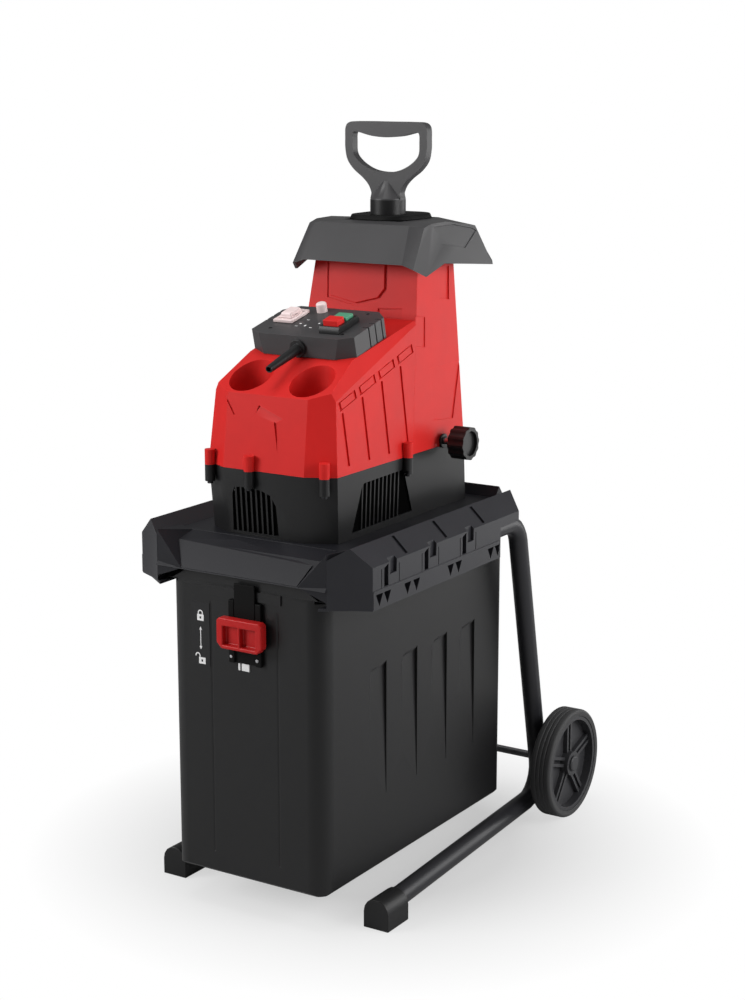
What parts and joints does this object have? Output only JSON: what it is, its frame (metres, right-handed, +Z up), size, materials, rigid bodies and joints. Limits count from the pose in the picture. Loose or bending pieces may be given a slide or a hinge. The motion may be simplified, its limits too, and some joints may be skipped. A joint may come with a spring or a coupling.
{
  "type": "electric garden shredder",
  "caption": "Wheeled electric garden shredder: motor housing with feed tower and plunger on a deck, over a pull-out collecting bin in a bent tube stand.",
  "frame": {"origin": "middle of the overall box, on the ground", "axes": "+Z up, front of the machine (bin pull and cable sleeve) towards -Y, +X to the side with the adjusting knob"},
  "size_m": [0.4446, 0.7228, 1.13],
  "materials": {
    "red_plastic": "fine grained moulding",
    "dark_grey_plastic": "fine grained moulding",
    "deck_plastic": "fine grained moulding",
    "black_plastic": "fine grained moulding",
    "pale_plastic": "smooth",
    "green_plastic": "smooth",
    "tube_paint": "powder coat",
    "tyre_rubber": "moulded",
    "steel": "turned and ground",
    "cast_aluminium": "as cast",
    "black_steel": "blackened"
  },
  "bodies": {
    "chassis": {"bearing_front": "steel", "bearing_rear": "steel", "cable_sleeve": "black_plastic", "capacitor": "cast_aluminium", "control_panel": "dark_grey_plastic", "cutter_frame": "cast_aluminium", "deck": "deck_plastic", "foot_left": "black_plastic", "foot_right": "black_plastic", "frame_tube_left": "tube_paint", "frame_tube_right": "tube_paint", "gear_plate": "steel", "hood": "dark_grey_plastic", "hopper_chute": "black_plastic", "hopper_tower": "red_plastic", "lower_housing": "black_plastic", "motor_can": "cast_aluminium", "motor_cover": "red_plastic", "rear_cover": "red_plastic", "rocker_frame": "pale_plastic", "safety_switch": "black_plastic", "screw_corner_left": "black_steel", "screw_corner_right": "black_steel", "screw_front": "black_steel", "screw_side_left": "black_steel", "screw_side_right": "black_steel", "side_rail_left": "deck_plastic", "side_rail_right": "deck_plastic", "spindle_bush": "black_plastic", "switch_base": "black_plastic", "wheel_axle": "black_steel"},
    "wheel_left_body": {"wheel_left": "black_plastic", "tyre_left": "tyre_rubber", "hub_cap_left": "black_plastic"},
    "wheel_right_body": {"wheel_right": "black_plastic", "tyre_right": "tyre_rubber", "hub_cap_right": "black_plastic"},
    "bin_body": {"collection_bin": "black_plastic", "latch_guide": "black_plastic"},
    "latch_body": {"latch_slider": "red_plastic", "latch_tongue": "black_plastic"},
    "plunger_body": {"plunger": "dark_grey_plastic"},
    "knob_body": {"adjust_knob": "black_plastic", "adjust_spindle": "steel"},
    "plate_body": {"counter_plate": "cast_aluminium"},
    "rotor_body": {"motor_rotor": "steel", "cooling_fan": "black_plastic", "motor_pinion": "steel"},
    "idler_body": {"idler_gear": "steel"},
    "roller_body": {"cutting_roller": "steel", "roller_shaft": "steel", "drive_gear": "steel"},
    "off_body": {"off_button": "red_plastic"},
    "on_body": {"on_button": "green_plastic"},
    "overload_body": {"overload_button": "pale_plastic"},
    "rocker_body": {"direction_rocker": "pale_plastic"}
  },
  "joints": [
    {"name": "wheel_left_spin", "type": "hinge", "parent": "chassis", "child": "wheel_left_body", "pos_m": [0, 0.2714, 0.09], "axis": [1, 0, 0], "continuous": true},
    {"name": "wheel_right_spin", "type": "hinge", "parent": "chassis", "child": "wheel_right_body", "pos_m": [0, 0.2714, 0.09], "axis": [1, 0, 0], "continuous": true},
    {"name": "bin_pull", "type": "slide", "parent": "chassis", "child": "bin_body", "axis": [0, -1, 0], "range_m": [0, 0.53]},
    {"name": "latch_lift", "type": "slide", "parent": "bin_body", "child": "latch_body", "axis": [0, 0, 1], "range_m": [0, 0.009]},
    {"name": "plunger_lift", "type": "slide", "parent": "chassis", "child": "plunger_body", "axis": [0, 0, 1], "range_m": [0, 0.42]},
    {"name": "knob_turn", "type": "hinge", "parent": "chassis", "child": "knob_body", "pos_m": [0, 0.02, 0.66], "axis": [1, 0, 0], "range_deg": [0, 720]},
    {"name": "plate_feed", "type": "slide", "parent": "chassis", "child": "plate_body", "axis": [1, 0, 0], "range_m": [-0.003, 0]},
    {"name": "motor_spin", "type": "hinge", "parent": "chassis", "child": "rotor_body", "pos_m": [0, 0, 0.63], "axis": [0, 1, 0], "continuous": true},
    {"name": "idler_spin", "type": "hinge", "parent": "chassis", "child": "idler_body", "pos_m": [0.03327, 0, 0.66732], "axis": [0, 1, 0], "continuous": true},
    {"name": "roller_spin", "type": "hinge", "parent": "chassis", "child": "roller_body", "pos_m": [-0.028, 0, 0.655], "axis": [0, 1, 0], "continuous": true},
    {"name": "off_press", "type": "slide", "parent": "chassis", "child": "off_body", "axis": [0, 0.2425, -0.9701], "range_m": [0, 0.004], "stiffness_N_per_m": 600, "springref_m": -0.002},
    {"name": "on_press", "type": "slide", "parent": "chassis", "child": "on_body", "axis": [0, 0.2425, -0.9701], "range_m": [0, 0.004], "stiffness_N_per_m": 600, "springref_m": -0.002},
    {"name": "overload_press", "type": "slide", "parent": "chassis", "child": "overload_body", "axis": [0, 0.2425, -0.9701], "range_m": [0, 0.004], "stiffness_N_per_m": 600, "springref_m": -0.002},
    {"name": "rocker_tilt", "type": "hinge", "parent": "chassis", "child": "rocker_body", "pos_m": [-0.054, -0.13693, 0.85393], "axis": [1, 0, 0], "range_deg": [-8, 8]}
  ],
  "couplings": [
    {"joint": "knob_turn", "follows": "plate_feed", "rad_per_m": -4188.8},
    {"joint": "idler_spin", "follows": "motor_spin", "ratio": -0.25},
    {"joint": "roller_spin", "follows": "motor_spin", "ratio": 0.0625}
  ]
}
